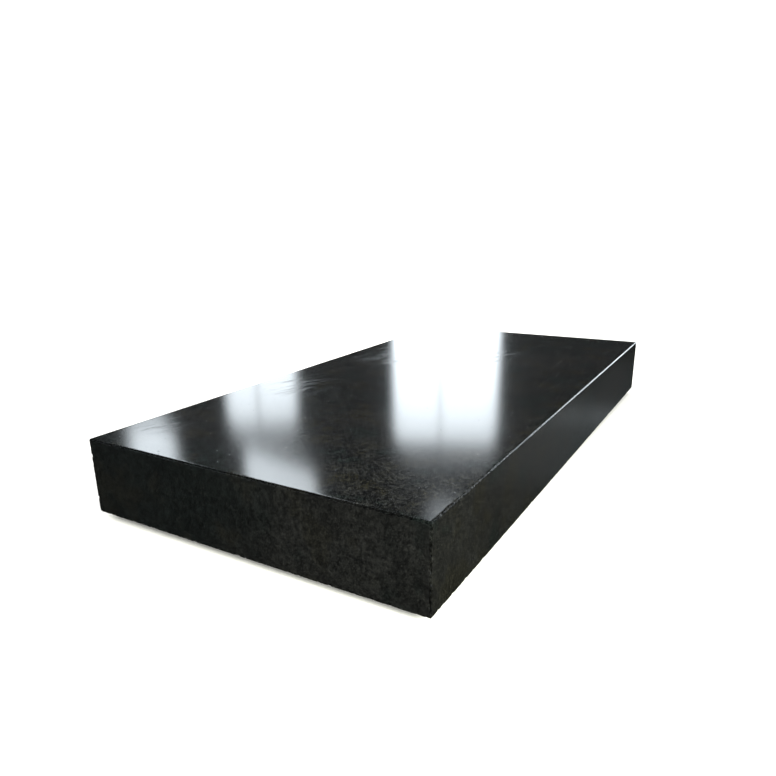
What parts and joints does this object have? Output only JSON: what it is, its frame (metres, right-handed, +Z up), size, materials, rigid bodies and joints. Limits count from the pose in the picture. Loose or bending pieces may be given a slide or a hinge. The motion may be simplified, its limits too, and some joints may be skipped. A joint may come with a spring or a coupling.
{
  "type": "granite slab",
  "caption": "Heavy rectangular black granite slab with a polished flat top and eased edges, standing on low bonded rubber feet, for tooling and punching leather.",
  "frame": {"origin": "on the bench, under the middle of the slab, in the plane of the four feet's treads", "axes": "+X along the slab's length, +Y across its width, +Z up to the polished working face"},
  "size_m": [0.61, 0.305, 0.0695],
  "materials": {
    "granite": "polished",
    "foot_rubber": "matte",
    "adhesive_foam": "matte"
  },
  "bodies": {
    "root": {"slab": "granite", "foot_front_left": "foot_rubber", "foot_front_right": "foot_rubber", "foot_back_left": "foot_rubber", "foot_back_right": "foot_rubber", "adhesive_front_left": "adhesive_foam", "adhesive_front_right": "adhesive_foam", "adhesive_back_left": "adhesive_foam", "adhesive_back_right": "adhesive_foam"}
  },
  "joints": []
}
